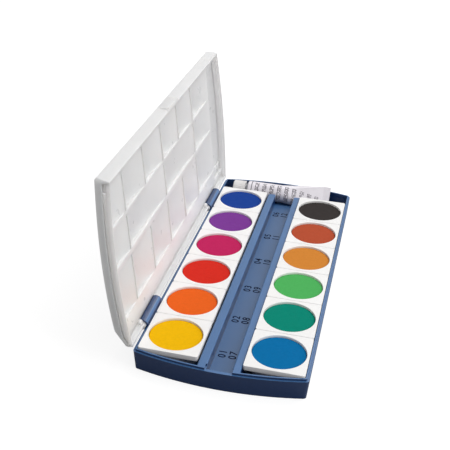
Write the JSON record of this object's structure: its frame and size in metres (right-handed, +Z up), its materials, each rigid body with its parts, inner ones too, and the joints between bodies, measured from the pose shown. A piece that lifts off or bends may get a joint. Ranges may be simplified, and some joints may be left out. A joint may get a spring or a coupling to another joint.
{
  "type": "gouache paint set box",
  "caption": "Flat hinged paint box: lift-out pans of pressed gouache in a dark tray with a brush channel, a tube of white, and a lid whose inside is a mixing palette.",
  "frame": {"origin": "middle of the tray's flat underside", "axes": "+Z up; +Y along the box towards the tube's end; X across it, with the lid's hinge on the -X side"},
  "size_m": [0.1146, 0.2384, 0.1123],
  "materials": {
    "tray_plastic": "satin moulded plastic, dark blue",
    "lid_plastic": "satin moulded plastic, white",
    "palette_plastic": "smooth moulded plastic, white",
    "pan_plastic": "smooth moulded plastic, white",
    "paint_yellow": "pressed matte paint, yellow",
    "paint_orange": "pressed matte paint, orange",
    "paint_red": "pressed matte paint, red",
    "paint_magenta": "pressed matte paint, magenta",
    "paint_violet": "pressed matte paint, violet",
    "paint_ultramarine": "pressed matte paint, ultramarine",
    "paint_cyan": "pressed matte paint, cyan",
    "paint_blue_green": "pressed matte paint, blue green",
    "paint_yellow_green": "pressed matte paint, yellow green",
    "paint_ochre": "pressed matte paint, ochre",
    "paint_sienna": "pressed matte paint, sienna",
    "paint_black": "pressed matte paint, black",
    "tube_metal": "soft foil with a pale printed coat",
    "nozzle_metal": "plain",
    "cap_plastic": "ribbed moulded plastic, white"
  },
  "bodies": {
    "tray": {"base": "tray_plastic"},
    "lid": {"lid_cover": "lid_plastic", "palette": "palette_plastic"},
    "pan_unit_1": {"pan_1": "pan_plastic", "paint_1": "paint_yellow"},
    "pan_unit_2": {"pan_2": "pan_plastic", "paint_2": "paint_orange"},
    "pan_unit_3": {"pan_3": "pan_plastic", "paint_3": "paint_red"},
    "pan_unit_4": {"pan_4": "pan_plastic", "paint_4": "paint_magenta"},
    "pan_unit_5": {"pan_5": "pan_plastic", "paint_5": "paint_violet"},
    "pan_unit_6": {"pan_6": "pan_plastic", "paint_6": "paint_ultramarine"},
    "pan_unit_7": {"pan_7": "pan_plastic", "paint_7": "paint_cyan"},
    "pan_unit_8": {"pan_8": "pan_plastic", "paint_8": "paint_blue_green"},
    "pan_unit_9": {"pan_9": "pan_plastic", "paint_9": "paint_yellow_green"},
    "pan_unit_10": {"pan_10": "pan_plastic", "paint_10": "paint_ochre"},
    "pan_unit_11": {"pan_11": "pan_plastic", "paint_11": "paint_sienna"},
    "pan_unit_12": {"pan_12": "pan_plastic", "paint_12": "paint_black"},
    "tube": {"tube_body": "tube_metal", "tube_shoulder": "nozzle_metal"},
    "cap": {"tube_cap": "cap_plastic"}
  },
  "joints": [
    {"name": "lid_hinge", "type": "hinge", "parent": "tray", "child": "lid", "pos_m": [-0.0492, 0, 0.014], "axis": [0, -1, 0], "range_deg": [-96.7, 83.3]},
    {"name": "pan_1_lift", "type": "slide", "parent": "tray", "child": "pan_unit_1", "axis": [0, 0, 1], "range_m": [0, 0.014]},
    {"name": "pan_2_lift", "type": "slide", "parent": "tray", "child": "pan_unit_2", "axis": [0, 0, 1], "range_m": [0, 0.014]},
    {"name": "pan_3_lift", "type": "slide", "parent": "tray", "child": "pan_unit_3", "axis": [0, 0, 1], "range_m": [0, 0.014]},
    {"name": "pan_4_lift", "type": "slide", "parent": "tray", "child": "pan_unit_4", "axis": [0, 0, 1], "range_m": [0, 0.014]},
    {"name": "pan_5_lift", "type": "slide", "parent": "tray", "child": "pan_unit_5", "axis": [0, 0, 1], "range_m": [0, 0.014]},
    {"name": "pan_6_lift", "type": "slide", "parent": "tray", "child": "pan_unit_6", "axis": [0, 0, 1], "range_m": [0, 0.014]},
    {"name": "pan_7_lift", "type": "slide", "parent": "tray", "child": "pan_unit_7", "axis": [0, 0, 1], "range_m": [0, 0.014]},
    {"name": "pan_8_lift", "type": "slide", "parent": "tray", "child": "pan_unit_8", "axis": [0, 0, 1], "range_m": [0, 0.014]},
    {"name": "pan_9_lift", "type": "slide", "parent": "tray", "child": "pan_unit_9", "axis": [0, 0, 1], "range_m": [0, 0.014]},
    {"name": "pan_10_lift", "type": "slide", "parent": "tray", "child": "pan_unit_10", "axis": [0, 0, 1], "range_m": [0, 0.014]},
    {"name": "pan_11_lift", "type": "slide", "parent": "tray", "child": "pan_unit_11", "axis": [0, 0, 1], "range_m": [0, 0.014]},
    {"name": "pan_12_lift", "type": "slide", "parent": "tray", "child": "pan_unit_12", "axis": [0, 0, 1], "range_m": [0, 0.014]},
    {"name": "tube_lift", "type": "slide", "parent": "tray", "child": "tube", "axis": [0, 0, 1], "range_m": [0, 0.02]},
    {"name": "cap_turn", "type": "hinge", "parent": "tube", "child": "cap", "pos_m": [-0.034, 0.10604, 0.01048], "axis": [-1, 0, 0], "range_deg": [0, 540]}
  ]
}
